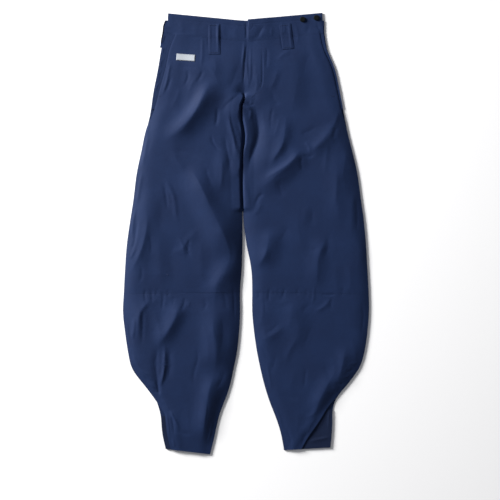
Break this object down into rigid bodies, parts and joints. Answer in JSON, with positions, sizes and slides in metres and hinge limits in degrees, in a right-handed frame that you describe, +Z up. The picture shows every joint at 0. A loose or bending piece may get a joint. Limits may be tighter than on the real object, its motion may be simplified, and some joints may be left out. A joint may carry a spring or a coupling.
{
  "type": "tobi pants",
  "caption": "Wide navy work trousers that swell at the knee and narrow to a close ankle, laid flat on their back, with long belt loops and a lapped fly.",
  "frame": {"origin": "on the floor under the middle of the laid-out garment's outline", "axes": "+Y towards the waist, +X towards the wearer's left side, +Z up from the floor out of the garment's front"},
  "size_m": [0.5933, 1.0642, 0.0148],
  "materials": {
    "navy_twill": "matte fine twill with a faint sheen",
    "navy_twill_inside": "matte fine twill, shaded and brushed",
    "navy_thread": "twisted sewing thread with a soft shine",
    "black_enamel": "smooth black enamel, semi-gloss",
    "plain_woven_tab": "plain pale grey woven tape"
  },
  "bodies": {
    "root": {"back_leg_right": "navy_twill", "back_leg_left": "navy_twill", "front_leg_right": "navy_twill", "front_leg_left": "navy_twill", "front_shin_right": "navy_twill", "front_shin_left": "navy_twill", "pocket_facing_right": "navy_twill_inside", "pocket_facing_left": "navy_twill_inside", "ankle_gusset_right": "navy_twill_inside", "ankle_gusset_left": "navy_twill_inside", "waistband_back": "navy_twill", "waistband_front_right": "navy_twill", "waistband_front_left": "navy_twill", "belt_loop_front_right": "navy_twill", "belt_loop_front_left": "navy_twill", "belt_loop_side_right": "navy_twill", "belt_loop_side_left": "navy_twill", "waist_stud_inner": "black_enamel", "waist_stud_outer": "black_enamel", "plain_tab": "plain_woven_tab"}
  },
  "joints": []
}
